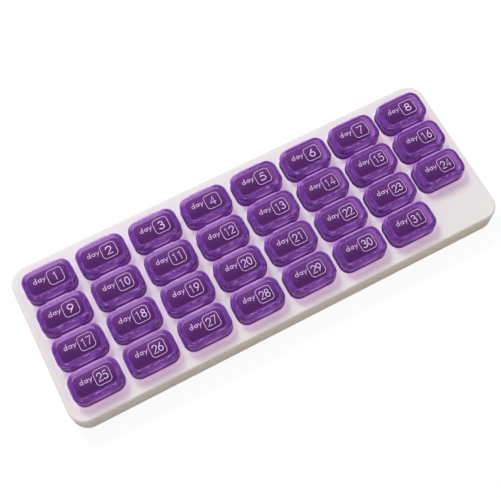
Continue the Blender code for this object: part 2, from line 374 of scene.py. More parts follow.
# %% Model the tub
TUB_DRAFT = 0.6 * MM
TUB_FLOOR = 1.4 * MM
RIM_BAND = 0.6 * MM
RIM_GAP = 0.3 * MM
tub_bottom = tub_low.z
tub_rim = LID_BOTTOM - RIM_GAP
tub_length = LID_LENGTH - 2 * OVERHANG
tub_width = LID_WIDTH - 2 * OVERHANG

tub = round_block("tub_form", tub_length, tub_width, LID_CORNER - OVERHANG, tub_rim - RIM_BAND, tub_rim)
choose(tub, "FACE", lambda face: facing(face, 2, -1))
step_in(TUB_DRAFT, tub_rim - RIM_BAND - tub_bottom)
choose(tub, "FACE", lambda face: facing(face, 2, 1))
step_in(TUB_WALL, 0)
step_in(TUB_DRAFT, -(tub_rim - tub_bottom - TUB_FLOOR))

# %% [markdown]
# The tub's half of the hinge is a shelf on the back wall that turns up to the fold line.

# %% Grow the hinge shelf out of the tub
SHELF_HEIGHT = 1.0 * MM
SHELF_DROP = 0.3 * MM
TUB_FOOT_ROUNDING = 1.1 * MM
TUB_FLOOR_ROUNDING = 1.3 * MM
shelf_top = tub_rim - SHELF_DROP
upright_front = upright_back - STRIP_THICKNESS


def tub_back(face):
    """The tub's flat outer wall at the back."""
    return face.normal.y > 0.9 and face.calc_center_median().y > tub_width / 2 - TUB_DRAFT - TINY


cut_outline(tub, tub_back, HINGE_LENGTH / 2, [shelf_top - SHELF_HEIGHT, shelf_top])
pull_out(tub, tub_back, HINGE_LENGTH / 2, shelf_top - SHELF_HEIGHT, shelf_top, upright_back)


def shelf_face(face):
    """The shelf's upper side."""
    middle = face.calc_center_median()
    return face.normal.z > 0.9 and middle.y > tub_width / 2 and abs(middle.z - shelf_top) < TINY


choose(tub, "FACE", shelf_face)
cut_selected((0, upright_front, 0), (0, 1, 0))
choose(tub, "FACE", lambda face: shelf_face(face) and face.calc_center_median().y > upright_front)
bpy.ops.mesh.extrude_region_move(TRANSFORM_OT_translate={"value": (0, 0, tub_high.z - shelf_top)})
soften(tub, tub_bottom, TUB_FOOT_ROUNDING, 4)
soften(tub, tub_bottom + TUB_FLOOR, TUB_FLOOR_ROUNDING, 4)
shade(tub)
measured(tub)

# %% [markdown]
# The tray is one white moulding. Its body is a rounded block whose sides lean in, with a rounded
# upper edge; it is hollow below, and each pod stands in a well. Hollow and wells are cut with
# Boolean modifiers, because a cutter made once can be copied to every place. The well cutter
# flares at its mouth, so every well gets the rounded lip that a mould leaves.

# %% Model the tray's body
TRAY_CORNER = 12.0 * MM
TRAY_DRAFT = 0.4 * MM
TRAY_EDGE = 1.6 * MM
TRAY_WALL = 1.8 * MM
DECK_THICKNESS = 1.8 * MM
FOOT_BAND = 0.5 * MM
tray_length = tray_high.x - tray_low.x
tray_width = tray_high.y - tray_low.y

tray = round_block("tray_form", tray_length, tray_width, TRAY_CORNER, 0, FOOT_BAND, 12)
choose(tray, "FACE", lambda face: facing(face, 2, 1))
step_in(TRAY_DRAFT, DECK_TOP - FOOT_BAND)
soften(tray, DECK_TOP, TRAY_EDGE, 6)
bpy.ops.object.mode_set(mode="OBJECT")

# %% Model the cutters
WELL_CLEARANCE = 0.4 * MM
WELL_WALL = 1.2 * MM
WELL_FLOOR = 1.8 * MM
LIP_FLARE = 0.45 * MM
BLOCK_BOTTOM = 0.6 * MM
tub_lean = TUB_DRAFT / (tub_rim - tub_bottom)


def tub_inset(height):
    """How far the tub's outside lies in from the lid's outline at a height."""
    return OVERHANG + tub_lean * (tub_rim - height)


def well_form():
    """A cutter for one well, with a flared mouth, built from the deck down."""
    mouth = tub_inset(DECK_TOP) - WELL_CLEARANCE - LIP_FLARE
    size = (LID_LENGTH - 2 * mouth, LID_WIDTH - 2 * mouth, LID_CORNER - mouth)
    form = round_block("well_form", *size, DECK_TOP, DECK_TOP + OVERRUN)
    choose(form, "FACE", lambda face: facing(face, 2, -1))
    steps = 4
    before = Vector((0, 0))
    for step in range(1, steps + 1):
        angle = step / steps * pi / 2
        now = Vector((sin(angle), 1 - cos(angle))) * LIP_FLARE
        step_in(now.x - before.x, now.y - before.y)
        before = now
    floor = tub_inset(WELL_FLOOR) - tub_inset(DECK_TOP)
    step_in(floor, DECK_TOP - LIP_FLARE - WELL_FLOOR)
    bpy.ops.object.mode_set(mode="OBJECT")
    return form


def block_form(rows):
    """The moulding that hangs under the deck round the wells of one column."""
    outset = WELL_WALL + WELL_CLEARANCE - tub_inset(DECK_TOP)
    length = LID_LENGTH + 2 * outset
    width = (rows - 1) * row_pitch + LID_WIDTH + 2 * outset
    form = round_block("block_form", length, width, LID_CORNER + outset, BLOCK_BOTTOM, DECK_TOP)
    bpy.ops.object.mode_set(mode="OBJECT")
    return form


def copy_to(model, place, name):
    """A copy with its own mesh, moved in its mesh so that its object stays at the origin."""
    mesh = model.data.copy()
    mesh.transform(Matrix.Translation(place))
    twin = bpy.data.objects.new(name, mesh)
    bpy.context.scene.collection.objects.link(twin)
    return twin


# %% Cut the hollow and the wells
hollow = round_block("hollow_form", tray_length - 2 * TRAY_WALL, tray_width - 2 * TRAY_WALL,
                     TRAY_CORNER - TRAY_WALL, -OVERRUN, 0, 12)
choose(hollow, "FACE", lambda face: facing(face, 2, 1))
step_in(TRAY_DRAFT, DECK_TOP - DECK_THICKNESS)
bpy.ops.object.mode_set(mode="OBJECT")
blocks = []
for column in range(COLUMNS):
    rows = len(range(column + 1, DAYS + 1, COLUMNS))
    middle = (pod_middle(column + 1) + pod_middle(column + 1 + (rows - 1) * COLUMNS)) / 2
    model = block_form(rows)
    blocks.append(copy_to(model, middle, f"block_{column}"))
    bpy.data.objects.remove(model, do_unlink=True)
cut_away(hollow, blocks)
well = well_form()
wells = [copy_to(well, pod_middle(day), f"well_{day}") for day in range(1, DAYS + 1)]
bpy.data.objects.remove(well, do_unlink=True)
cut_away(tray, [hollow])
cut_away(tray, wells)
shade(tray, 30)
measured(tray)

# %% [markdown]
# The print on each lid is a word and a plain number in a rounded box, in white ink. Strokes of
# one width are easiest as curves: a glyph is a few lines and arcs, each curve gets a round
# section and becomes a mesh, the corners that its caps share with it are merged, and the whole is
# pressed flat to the thickness of the ink. Each glyph is made once, at its real size in
# millimetres, and copied to the lids that need it. A number alone in its box is drawn wider and
# bolder than the two digits of a pair.

# %% Draw lines and arcs
BOX_STROKE = 0.34
LETTER_STROKE = 0.40
PAIR = (2.80, 0.57)      # width and stroke of a digit beside another
SINGLE = (3.60, 0.68)    # the same for a digit alone in its box
TALL = 5.30


def arc(middle_x, middle_y, radius_x, radius_y, start, end):
    """Points on an arc, with its angles in degrees; it runs from start to end either way round."""
    steps = max(4, round(abs(end - start) / 12))
    points = []
    for step in range(steps + 1):
        angle = radians(start + (end - start) * step / steps)
        points.append((middle_x + radius_x * cos(angle), middle_y + radius_y * sin(angle)))
    return points


def ring(middle_x, middle_y, radius_x, radius_y):
    """A closed oval, as its points; the first and the last are the same."""
    return arc(middle_x, middle_y, radius_x, radius_y, 90, 450)


def digit_strokes(word, wide):
    """The lines and arcs of one digit, wide millimetres across and TALL high."""
    half = wide / 2
    bowl = 1.62
    strokes = {
        "0": [ring(half, TALL / 2, half, TALL / 2)],
        "1": [[(half - 0.8, TALL - 0.8), (half + 0.2, TALL), (half + 0.2, 0)]],
        "2": [arc(half, TALL - 1.45, half, 1.45, 170, -36) + [(0, 0), (wide, 0)]],
        "3": [arc(half * 0.90, TALL - 1.28, half * 0.84, 1.28, 152, -90)
              + arc(half * 0.86, 1.47, half * 1.10, 1.47, 90, -148)],
        "4": [[(wide * 0.74, 0), (wide * 0.74, TALL), (0, 1.45), (wide, 1.45)]],
        "5": [[(wide * 0.92, TALL), (wide * 0.27, TALL), (wide * 0.12, 3.05)]
              + arc(half * 0.82, 1.70, half * 1.16, 1.70, 118, -142)],
        "6": [ring(half, bowl, half, bowl), [(wide * 0.74, TALL), (wide * 0.07, bowl + 0.75)]],
        "7": [[(0, TALL), (wide, TALL), (wide * 0.28, 0)]],
        "8": [ring(half, TALL - 1.22, half * 0.80, 1.22), ring(half, 1.43, half, 1.43)],
        "9": [ring(half, TALL - bowl, half, bowl), [(wide * 0.26, 0), (wide * 0.93, TALL - bowl - 0.75)]],
    }
    return strokes[word]


X_HEIGHT = 1.85
STEM = 3.55
TAIL = 1.25
LETTERS = {
    "d": (1.95, [ring(0.95, X_HEIGHT / 2, 0.95, X_HEIGHT / 2), [(1.95, 0), (1.95, STEM)]]),
    "a": (1.95, [ring(0.95, X_HEIGHT / 2, 0.95, X_HEIGHT / 2), [(1.95, 0), (1.95, X_HEIGHT)]]),
    "y": (2.10, [[(0, X_HEIGHT), (1.05, 0)], [(2.10, X_HEIGHT), (0.35, -TAIL)]]),
}


# %% Turn the strokes into ink
INK_THICKNESS = 0.09 * MM
MERGE_DISTANCE = 0.0001 * MM
SHARP_TURN = radians(25)


def stroke(points, width):
    """One stroke: a curve with a round section and flat caps, or a closed one."""
    curve = bpy.data.curves.new("stroke", "CURVE")
    curve.dimensions = "3D"
    curve.bevel_depth = width / 2 * MM
    curve.bevel_resolution = 2
    curve.use_fill_caps = True
    closed = (Vector(points[0]) - Vector(points[-1])).length < 0.001
    kept = points[:-1] if closed else points
    line = curve.splines.new("POLY")
    line.points.add(len(kept) - 1)
    for point, (x, y) in zip(line.points, kept):
        point.co = (x * MM, y * MM, 0, 1)
    line.use_cyclic_u = closed
    thing = bpy.data.objects.new("stroke", curve)
    bpy.context.scene.collection.objects.link(thing)
    return thing


def joined(things, name):
    """Joins the things into one mesh."""
    bpy.ops.object.select_all(action="DESELECT")
    for thing in things:
        thing.select_set(True)
    bpy.context.view_layer.objects.active = things[0]
    bpy.ops.object.convert(target="MESH")
    if len(things) > 1:
        bpy.ops.object.join()
    whole = bpy.context.object
    whole.name = name
    return whole


def dot(x, y, width):
    """A round end or corner for a stroke."""
    bpy.ops.mesh.primitive_uv_sphere_add(segments=12, ring_count=6, radius=width / 2 * MM,
                                         location=(x * MM, y * MM, 0))
    return bpy.context.object


def glyph(name, strokes, width):
    """A glyph from its strokes: joined, merged where they meet their caps, and pressed flat."""
    things = []
    for points in strokes:
        things.append(stroke(points, width))
        sharp = [points[0], points[-1]]
        for before, here, after in zip(points, points[1:], points[2:]):
            turn = (Vector(here) - Vector(before)).angle(Vector(after) - Vector(here), 0)
            if turn > SHARP_TURN:
                sharp.append(here)
        things += [dot(x, y, width) for x, y in sharp]
    whole = joined(things, name)
    bpy.ops.object.mode_set(mode="EDIT")
    bpy.ops.mesh.select_all(action="SELECT")
    bpy.ops.mesh.remove_doubles(threshold=MERGE_DISTANCE)
    bpy.ops.object.mode_set(mode="OBJECT")
    bpy.ops.object.transform_apply(location=True, rotation=True, scale=True)
    whole.scale = (1, 1, INK_THICKNESS / (width * MM))
    bpy.ops.object.transform_apply(location=False, rotation=False, scale=True)
    bpy.ops.object.shade_smooth()
    return whole


digits = {
    (word, style): glyph(f"digit_{word}", digit_strokes(word, style[0]), style[1])
    for word in "0123456789" for style in (PAIR, SINGLE)
}
letters = {word: glyph(f"letter_{word}", strokes, LETTER_STROKE) for word, (_, strokes) in LETTERS.items()}
print(len(digits), "digits and", len(letters), "letters are drawn")

# %% Lay out the box and the words
BOX_SIDE = 10.4
BOX_CORNER = 2.45
BOX_MIDDLE = (5.25, 0.27)
DIGIT_PITCH = 3.75
LETTER_GAPS = (1.25, 0.95)
WORD_END = -1.32
WORD_RISE = 1.35

half = BOX_SIDE / 2 - BOX_CORNER
box_points = []
for start, (side_x, side_y) in zip((0, 90, 180, 270), ((1, 1), (-1, 1), (-1, -1), (1, -1))):
    box_points += arc(side_x * half, side_y * half, BOX_CORNER, BOX_CORNER, start, start + 90)
number_box = glyph("number_box", [box_points + box_points[:1]], BOX_STROKE)


def place_word(middle_y):
    """Copies of the letters of the word for a day, which ends to the left of the box."""
    copies = []
    x = WORD_END - sum(LETTERS[word][0] for word in "day") - sum(LETTER_GAPS)
    for word, gap in zip("day", (*LETTER_GAPS, 0)):
        copies.append(copy_to(letters[word], Vector((x, middle_y - X_HEIGHT / 2, 0)) * MM, word))
        x += LETTERS[word][0] + gap
    return copies


def place_number(day, middle_x, middle_y):
    """Copies of the digits of a number, centred in the box."""
    style = PAIR if day > 9 else SINGLE
    copies = []
    for index, word in enumerate(str(day)):
        middle = middle_x + (index - (len(str(day)) - 1) / 2) * DIGIT_PITCH
        place = Vector((middle - style[0] / 2, middle_y - TALL / 2, 0)) * MM
        copies.append(copy_to(digits[word, style], place, word))
    return copies


def day_print(day):
    """The print of one day, on the panel of its lid."""
    middle_x, middle_y = BOX_MIDDLE
    things = place_number(day, middle_x, middle_y)
    things += place_word(middle_y + WORD_RISE)
    things.append(copy_to(number_box, Vector((middle_x, middle_y, 0)) * MM, "box"))
    whole = joined(things, f"print_day_{day:02}")
    whole.data.transform(Matrix.Translation(pod_middle(day) + Vector((0, 0, panel_height))))
    return whole


prints = {day: day_print(day) for day in range(1, DAYS + 1)}
for form in [*digits.values(), *letters.values(), number_box]:
    bpy.data.objects.remove(form, do_unlink=True)
measured(prints[28])

# %% [markdown]
# Every pod gets its own copy of the lid and the tub. A lid rides on its own body, so that it
# opens, and its print rides along. The last three days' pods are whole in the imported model, so
# lid and tub both ride on the pod there.

# %% Put lids, tubs and prints on their bodies
tubs = {day: copy_to(tub, pod_middle(day), f"fine_tub_{day:02}") for day in range(1, DAYS + 1)}
lids = {day: copy_to(lid, pod_middle(day), f"fine_lid_{day:02}") for day in range(1, DAYS + 1)}
for model in (tub, lid):
    bpy.data.objects.remove(model, do_unlink=True)
for day in range(1, DAYS + 1):
    whole = day in JOINED_DAYS
    lid_body = f"pod_{day:02}" if whole else f"lid_{day:02}"
    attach(tubs[day], f"pod_{day:02}")
    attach(lids[day], lid_body)
    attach(prints[day], lid_body)
    if whole:
        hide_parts(f"pod_day_{day:02}")
    else:
        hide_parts(f"tub_day_{day:02}")
        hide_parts(f"lid_day_{day:02}")
fine_tray = copy_to(tray, Vector((0, 0, 0)), "fine_tray")
bpy.data.objects.remove(tray, do_unlink=True)
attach(fine_tray, "tray")
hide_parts("tray")
print(len(tubs), "tubs,", len(lids), "lids and", len(prints), "prints ride on their bodies")

# %% [markdown]
# Materials are node graphs. Colours are written as a colour picker shows them and turned linear
# by one function, and another adds a node with its settings and links in one call.

# %% Helpers for materials


def linear(hex_colour):
    """The linear colour of an sRGB hex value."""
    channels = [int(hex_colour[i:i + 2], 16) / 255 for i in (1, 3, 5)]
    return (*[c / 12.92 if c <= 0.04045 else ((c + 0.055) / 1.055) ** 2.4 for c in channels], 1)


def add_node(material, kind, settings=None, values=None, links=None):
    """Adds a node, with its settings, its sockets' values, and the outputs that feed it."""
    tree = material.node_tree
    node = tree.nodes.new(kind)
    for name, value in (settings or {}).items():
        setattr(node, name, value)
    for name, value in (values or {}).items():
        node.inputs[name].default_value = value
    for name, output in (links or {}).items():
        tree.links.new(output, node.inputs[name])
    return node


def new_material(name):
    """A material with an empty graph."""
    material = bpy.data.materials.new(name)
    material.use_nodes = True
    material.node_tree.nodes.clear()
    return material


def show_surface(material, shader, kind="ShaderNodeOutputMaterial"):
    """Ends a graph: what it shows is this shader's output. Says how many nodes it has."""
    add_node(material, kind, links={"Surface": shader})
    print(material.name, "has", len(material.node_tree.nodes), "nodes")


# %% Helpers that work out numbers


def calculate(material, operation, *values):
    """A number worked out from numbers and outputs."""
    node = add_node(material, "ShaderNodeMath", {"operation": operation})
    feed(material, node, values)
    return node.outputs["Value"]


def vector_math(material, operation, *values):
    """A vector, or the length of one, worked out from vectors and outputs."""
    node = add_node(material, "ShaderNodeVectorMath", {"operation": operation})
    feed(material, node, values)
    return node.outputs["Value" if operation == "LENGTH" else "Vector"]


def feed(material, node, values):
    """Gives a node's inputs their values or the outputs that feed them."""
    for socket, value in zip(node.inputs, values):
        if isinstance(value, bpy.types.NodeSocket):
            material.node_tree.links.new(value, socket)
        else:
            socket.default_value = value


def split(material, vector):
    """The X, Y and Z of a vector, as outputs."""
    return add_node(material, "ShaderNodeSeparateXYZ", links={"Vector": vector}).outputs


def both(material, first, second):
    """The share that two shares have in common."""
    return calculate(material, "MULTIPLY", first, second)


# %% Helpers that mix colours


def blend_colours(material, share, first, second):
    """Two colours mixed by a share; each is an sRGB hex value or an output."""
    node = add_node(material, "ShaderNodeMix", {"data_type": "RGBA"}, links={0: share})
    for socket, colour in zip((node.inputs[6], node.inputs[7]), (first, second)):
        if isinstance(colour, str):
            socket.default_value = linear(colour)
        else:
            material.node_tree.links.new(colour, socket)
    return node.outputs[2]


def lay_over(material, colour, new_colour, *shares):
    """A colour with a new one laid over it, as far as all the shares reach together."""
    reach = shares[0]
    for share in shares[1:]:
        reach = both(material, reach, share)
    return blend_colours(material, reach, colour, new_colour)


def spread(material, value, low, high, start=0.0, end=1.0):
    """A value between start and end brought smoothly between low and high."""
    node = add_node(material, "ShaderNodeMapRange", {"interpolation_type": "SMOOTHSTEP"},
                    {"From Min": start, "From Max": end, "To Min": low, "To Max": high}, {"Value": value})
    return node.outputs["Result"]


def colour_steps(material, value, reach, steps):
    """Colours along a value from 0 to the reach, given as pairs of place and sRGB hex value."""
    share = calculate(material, "DIVIDE", value, reach)
    ramp = add_node(material, "ShaderNodeValToRGB", links={"Fac": share})
    elements = ramp.color_ramp.elements
    while len(elements) < len(steps):
        elements.new(0.5)
    for element, (place, colour) in zip(elements, steps):
        element.position = place / reach
        element.color = linear(colour)
    return ramp.outputs["Color"]


def object_place(material):
    """The place on the piece, in metres; every piece has its origin at the tray's."""
    return add_node(material, "ShaderNodeTexCoord").outputs["Object"]


def noise(material, place, millimetres, detail):
    """A noise whose features are this many millimetres across."""
    node = add_node(material, "ShaderNodeTexNoise", links={"Vector": place},
                    values={"Scale": 1 / (millimetres * MM), "Detail": detail})
    return node.outputs["Fac"]


# %% [markdown]
# Two plastics need to know where a point lies beside its pod: the lid is painted paler over its
# rim than over the hollow, for light and shade, and the tray is painted with a lilac glow of light
# beside each pod. The pods stand on a grid, so the nearest pod is the place over the pitch,
# rounded and kept within the grid, and from there the distance to the outline of a rounded
# rectangle is a short sum. Both are given in millimetres.

# %% Find the place on a pod


def pod_place(material, place, columns=COLUMNS, rows=ROWS):
    """The place in millimetres from the middle of the nearest pod of a grid."""
    away = vector_math(material, "SUBTRACT", place, pod_middle(1))
    pitches = Vector((column_pitch, row_pitch, 1))
    steps = vector_math(material, "DIVIDE", away, pitches)
    steps = vector_math(material, "ADD", steps, (0.5, 0.5, 0.5))
    nearest = vector_math(material, "FLOOR", steps)
    nearest = vector_math(material, "MAXIMUM", nearest, (0, 1 - rows, 0))
    nearest = vector_math(material, "MINIMUM", nearest, (columns - 1, 0, 0))
    middle = vector_math(material, "MULTIPLY", nearest, pitches)
    left = vector_math(material, "SUBTRACT", away, middle)
    return vector_math(material, "DIVIDE", left, (MM, MM, MM))


def rim_distance(material, near):
    """How many millimetres a place lies inside the lid's outline; outside it is below zero."""
    radius = LID_CORNER / MM
    straight = (LID_LENGTH / 2 / MM - radius, LID_WIDTH / 2 / MM - radius, 0)
    positive = vector_math(material, "ABSOLUTE", near)
    flat = vector_math(material, "MULTIPLY", positive, (1, 1, 0))
    past = vector_math(material, "SUBTRACT", flat, straight)
    outer = vector_math(material, "MAXIMUM", past, (0, 0, 0))
    corner = vector_math(material, "LENGTH", outer)
    parts = split(material, past)
    side = calculate(material, "MINIMUM", calculate(material, "MAXIMUM", parts["X"], parts["Y"]), 0)
    return calculate(material, "SUBTRACT", calculate(material, "SUBTRACT", radius, corner), side)


# %% [markdown]
# The pods are clear violet polypropylene, injection moulded. Light enters it, is tinted and
# partly scattered, so a lid is dark where one looks through its panel into the hollow tub and
# paler over the rim, where the walls below send light back; this light and shade is painted into
# the lid's colour, by the distance in from its outline. The scattering is subsurface, with the
# base colour for the tint. Shadow rays pass through it and are tinted at each face, so a pod's
# shadow on the tray is lilac. The mould's surface is glossy but never perfect: slow waves some
# millimetres long break up the reflections, and a fine grain takes off the mirror shine. Light
# that travels inside the walls and leaves at an edge is more than this shader carries, so it is
# painted: pale bands in front, along the back ridge and edge, and on the panel's right inner
# wall. The panel is painted paler towards its back. The back ridge is palest at the tray's left
# end, the inner wall at its right end. Painted streaks of highlight and shade cross the rim, most
# of all in front, the lip is painted darker as shade, and the front inner wall of the panel is
# duller.

# %% Violet moulded polypropylene
SHADE_TINT = "#F1E6F2"


def violet_plastic(name, colour_of, shine, scattered, dull_of=None):
    """Clear tinted polypropylene; functions work out its colour and where it is duller."""
    material = new_material(name)
    place = object_place(material)
    wave = noise(material, place, 3.5, 1.0)
    grain = noise(material, place, 0.5, 2.0)
    roughness = spread(material, grain, 0.13, 0.21)
    if dull_of:
        roughness = calculate(material, "ADD", roughness, dull_of(material, place))
    slow = add_node(material, "ShaderNodeBump", values={"Strength": 0.5, "Distance": 0.05 * MM},
                    links={"Height": wave})
    fine = add_node(material, "ShaderNodeBump", values={"Strength": 0.25, "Distance": 0.004 * MM},
                    links={"Height": grain, "Normal": slow.outputs["Normal"]})
    shader = add_node(
        material, "ShaderNodeBsdfPrincipled",
        values={"IOR": 1.49, "Specular IOR Level": shine, "Subsurface Weight": scattered,
                "Subsurface Scale": 1.2 * MM, "Subsurface Radius": (1.0, 0.6, 1.1)},
        links={
            "Base Color": colour_of(material, place),
            "Roughness": roughness,
            "Normal": fine.outputs["Normal"],
        },
    )
    rays = add_node(material, "ShaderNodeLightPath")
    passing = add_node(material, "ShaderNodeBsdfTransparent", values={"Color": linear(SHADE_TINT)})
    mixed = add_node(material, "ShaderNodeMixShader", links={
        0: rays.outputs["Is Shadow Ray"], 1: shader.outputs["BSDF"], 2: passing.outputs["BSDF"]})
    show_surface(material, mixed.outputs["Shader"])
    return material


# %% Colours and painted light that follow the lid's outline
# Painted streaks of highlight and shade: their stretch, and their shift from lid to lid.
STREAK_STRETCH = (0.13, 0.13, 0)
STREAK_SHIFT = (90, 90, 0)
LIP_FADE = 0.3 * MM
# The lid's violet by distance in from its outline: painted paler over the rim and darker over the hollow,
# for the light and shade there.
LID_COLOURS = [(0.0, "#8646B0"), (0.8, "#62308A"), (2.2, "#6A3090"), (3.2, "#6C3494"), (3.8, "#562070"),
               (4.4, "#4E1862")]


def add_streaks(material, colour, place, near, inside, along):
    """Painted pale and deep streaks of light and shade on the rim, strongest in front, shifted lid to lid.
    """
    streak_place = vector_math(material, "MULTIPLY", near, STREAK_STRETCH)
    layers = add_node(material, "ShaderNodeCombineXYZ", links={"Z": inside}).outputs["Vector"]
    streak_place = vector_math(material, "ADD", streak_place, layers)
    day_shift = vector_math(material, "MULTIPLY", place, STREAK_SHIFT)
    streak_place = vector_math(material, "ADD", streak_place, day_shift)
    node = add_node(material, "ShaderNodeTexNoise", links={"Vector": streak_place},
                    values={"Scale": 1.3, "Detail": 2.0})
    lines = node.outputs["Fac"]
    front = spread(material, along, 1, 0.25, -8.4, -7.0)
    rim = both(material, front, spread(material, inside, 1, 0, 3.0, 4.2))
    colour = lay_over(material, colour, "#AC76D0", spread(material, lines, 0, 1, 0.54, 0.61), rim)
    return lay_over(material, colour, "#481A68", spread(material, lines, 1, 0, 0.39, 0.45), rim)


def add_front_light(material, colour, across, along):
    """Paler on the front of the skirt, and palest at the tab."""
    skirt = spread(material, along, 0.9, 0, -11.0, -7.5)
    colour = lay_over(material, colour, "#8342AC", skirt, spread(material, across, 1, 0.2, 9.0, 14.0))
    tab = spread(material, along, 1, 0, -11.0, -9.8)
    return lay_over(material, colour, "#A46CC4", tab, spread(material, across, 0.9, 0, 4.0, 9.0))


def add_back_light(material, colour, reached, inside, along, tray_x):
    """A pale line along the back ridge, palest at the tray's left end, and a pale back edge."""
    rise = spread(material, reached, 0, 1, 1.9, 2.3)
    fall = spread(material, reached, 1, 0, 2.9, 3.3)
    back = spread(material, along, 0, 1, 4.0, 7.2)
    end_share = spread(material, tray_x, 0.80, 0.28, -0.12, 0.10)
    colour = lay_over(material, colour, "#B488D0", rise, fall, end_share, back)
    edge = spread(material, along, 0, 1, 9.4, 10.6)
    return lay_over(material, colour, "#C698CA", edge, spread(material, inside, 1, 0, 0.5, 1.4))


def add_wall_light(material, colour, inside, side, tray_x):
    """A pale band on the panel's right inner wall, palest at the tray's right end."""
    rise = spread(material, inside, 0, 1, 2.9, 3.6)
    fall = spread(material, inside, 1, 0, 5.4, 6.8)
    right = spread(material, side, 0, 1, 8.0, 11.5)
    end_share = spread(material, tray_x, 0, 0.75, -0.03, 0.11)
    return lay_over(material, colour, "#A468C4", rise, fall, right, end_share)


def lid_colour(material, place):
    """Painted light and shade: pale over the rim and dark over the hollow, then streaks, bands of light
    and the lip's shade.
    """
    near = pod_place(material, place)
    inside = rim_distance(material, near)
    side, along = split(material, near)["X"], split(material, near)["Y"]
    across = calculate(material, "ABSOLUTE", side)
    tray_x, height = split(material, place)["X"], split(material, place)["Z"]
    front_shift = spread(material, along, 0, 0.5, -8.0, -5.0)
    shift = calculate(material, "ADD", front_shift, spread(material, along, 0, 0.8, 2.0, 7.0))
    reached = calculate(material, "MAXIMUM", calculate(material, "SUBTRACT", inside, shift), 0)
    colour = colour_steps(material, reached, 6.0, LID_COLOURS)
    # Painted light: the panel grows paler towards its back.
    panel_light = spread(material, inside, 0, 1, 3.0, 5.0)
    colour = lay_over(material, colour, "#6E3486", panel_light, spread(material, along, 0, 1, -5.0, 8.5))
    colour = add_streaks(material, colour, place, near, inside, along)
    colour = add_front_light(material, colour, across, along)
    colour = add_back_light(material, colour, reached, inside, along, tray_x)
    colour = add_wall_light(material, colour, inside, side, tray_x)
    # Painted shade: the lip under the skirt is darker.
    lip_top = LID_BOTTOM + LIP_HEIGHT
    lip_shade = spread(material, height, 0.45, 0, lip_top, lip_top + LIP_FADE)
    return lay_over(material, colour, "#461862", lip_shade)


def lid_dulling(material, place):
    """More roughness on the front inner wall of the panel."""
    near = pod_place(material, place)
    wall = spread(material, rim_distance(material, near), 0, 1, 2.6, 3.0)
    return both(material, wall, spread(material, split(material, near)["Y"], 0.5, 0, -7.4, -6.4))


def tub_colour(material, place):
    """Painted light and shade: steadily paler from the floor to the rim, where the wall ends and lets
    light out.
    """
    tall = tub_rim - tub_bottom
    share = calculate(material, "MULTIPLY_ADD", split(material, place)["Z"], 1 / tall, -tub_bottom / tall)
    return blend_colours(material, share, "#5A2480", "#9A56BE")


# %% The plastics of lid and tub
lid_plastic = violet_plastic("violet_polypropylene_lid_moulded", lid_colour, 0.50, 0.30, lid_dulling)
tub_plastic = violet_plastic("violet_polypropylene_tub_moulded", tub_colour, 0.06, 0.90)

# %% [markdown]
# The tray is white high-impact polystyrene with a satin, slightly grained face: the highlights on
# it are broad and weak, and a faint cloudiness keeps the white from looking like paper. The deck
# is painted with a lilac glow close to each pod and inside the wells, for the light that comes out
# of the violet walls, and each well is painted violet just below its mouth as shade, which at rest
# shows as a thin gap round the pod. The rounded back edge is painted greyer as shade, where the
# lamps would make it too bright.

# %% White satin polystyrene


def tray_colour(material, place):
    """White, clouded, with a painted lilac glow round each pod and painted shade at the wells' mouths and
    back edge; two grids leave out the empty place.
    """
    colour = blend_colours(material, noise(material, place, 30, 3.0), "#E2E0E0", "#E8E6E6")
    all_rows = rim_distance(material, pod_place(material, place, columns=COLUMNS - 1))
    all_columns = rim_distance(material, pod_place(material, place, rows=ROWS - 1))
    inside = calculate(material, "MAXIMUM", all_rows, all_columns)
    # Painted light: a lilac glow round each pod, from the violet walls.
    colour = lay_over(material, colour, "#FFF0FF", spread(material, inside, 0, 0.9, -3.4, -0.8))
    parts = split(material, place)
    # Painted shade: violet just below each well's mouth, seen as a thin gap round the pod.
    mouth = spread(material, parts["Z"], 0, 0.8, DECK_TOP - 2.4 * MM, DECK_TOP - 0.6 * MM)
    colour = lay_over(material, colour, "#6E3C90", mouth, spread(material, inside, 0, 1, -0.35, 0.15))
    # Painted shade: the rounded back edge greyer, where the lamps would make it too bright.
    back = spread(material, parts["Y"], 0, 0.7, tray_high.y - 2.4 * MM, tray_high.y - 0.8 * MM)
    return lay_over(material, colour, "#CAC8C8", back)


tray_plastic = new_material("white_polystyrene_satin_moulded")
place = object_place(tray_plastic)
grain = noise(tray_plastic, place, 0.6, 3.0)
bump = add_node(tray_plastic, "ShaderNodeBump", values={"Strength": 0.3, "Distance": 0.02 * MM},
                links={"Height": grain})
shader = add_node(
    tray_plastic, "ShaderNodeBsdfPrincipled",
    values={"IOR": 1.55, "Specular IOR Level": 0.15, "Subsurface Weight": 0.15,
            "Subsurface Scale": 2 * MM},
    links={
        "Base Color": tray_colour(tray_plastic, place),
        "Roughness": spread(tray_plastic, grain, 0.38, 0.50),
        "Normal": bump.outputs["Normal"],
    },
)
show_surface(tray_plastic, shader.outputs["BSDF"])

# %% [markdown]
# The ink is an opaque white pad print, matt and a little uneven, as ink on plastic is.

# %% White pad-printed ink
ink = new_material("white_ink_pad_printed")
blotch = noise(ink, object_place(ink), 0.8, 2.0)
shader = add_node(
    ink, "ShaderNodeBsdfPrincipled", values={"IOR": 1.5},
    links={
        "Base Color": blend_colours(ink, blotch, "#DCBCEC", "#F0DAFA"),
        "Roughness": spread(ink, blotch, 0.45, 0.65),
    },
)
show_surface(ink, shader.outputs["BSDF"])

# %% Give the pieces their materials


def dress(piece, material):
    """Gives a piece its one material."""
    piece.data.materials.clear()
    piece.data.materials.append(material)


for day in range(1, DAYS + 1):
    dress(lids[day], lid_plastic)
    dress(tubs[day], tub_plastic)
    dress(prints[day], ink)
dress(fine_tray, tray_plastic)
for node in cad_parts.values():
    dress(node, tray_plastic if node.name == "tray" else tub_plastic)
print("dressed", len(lids) + len(tubs) + len(prints) + 1, "fine pieces")

# %% [markdown]
# The camera stands where the photograph was taken from: above the front, a little to the left,
# turned so that the rows run up to the right.

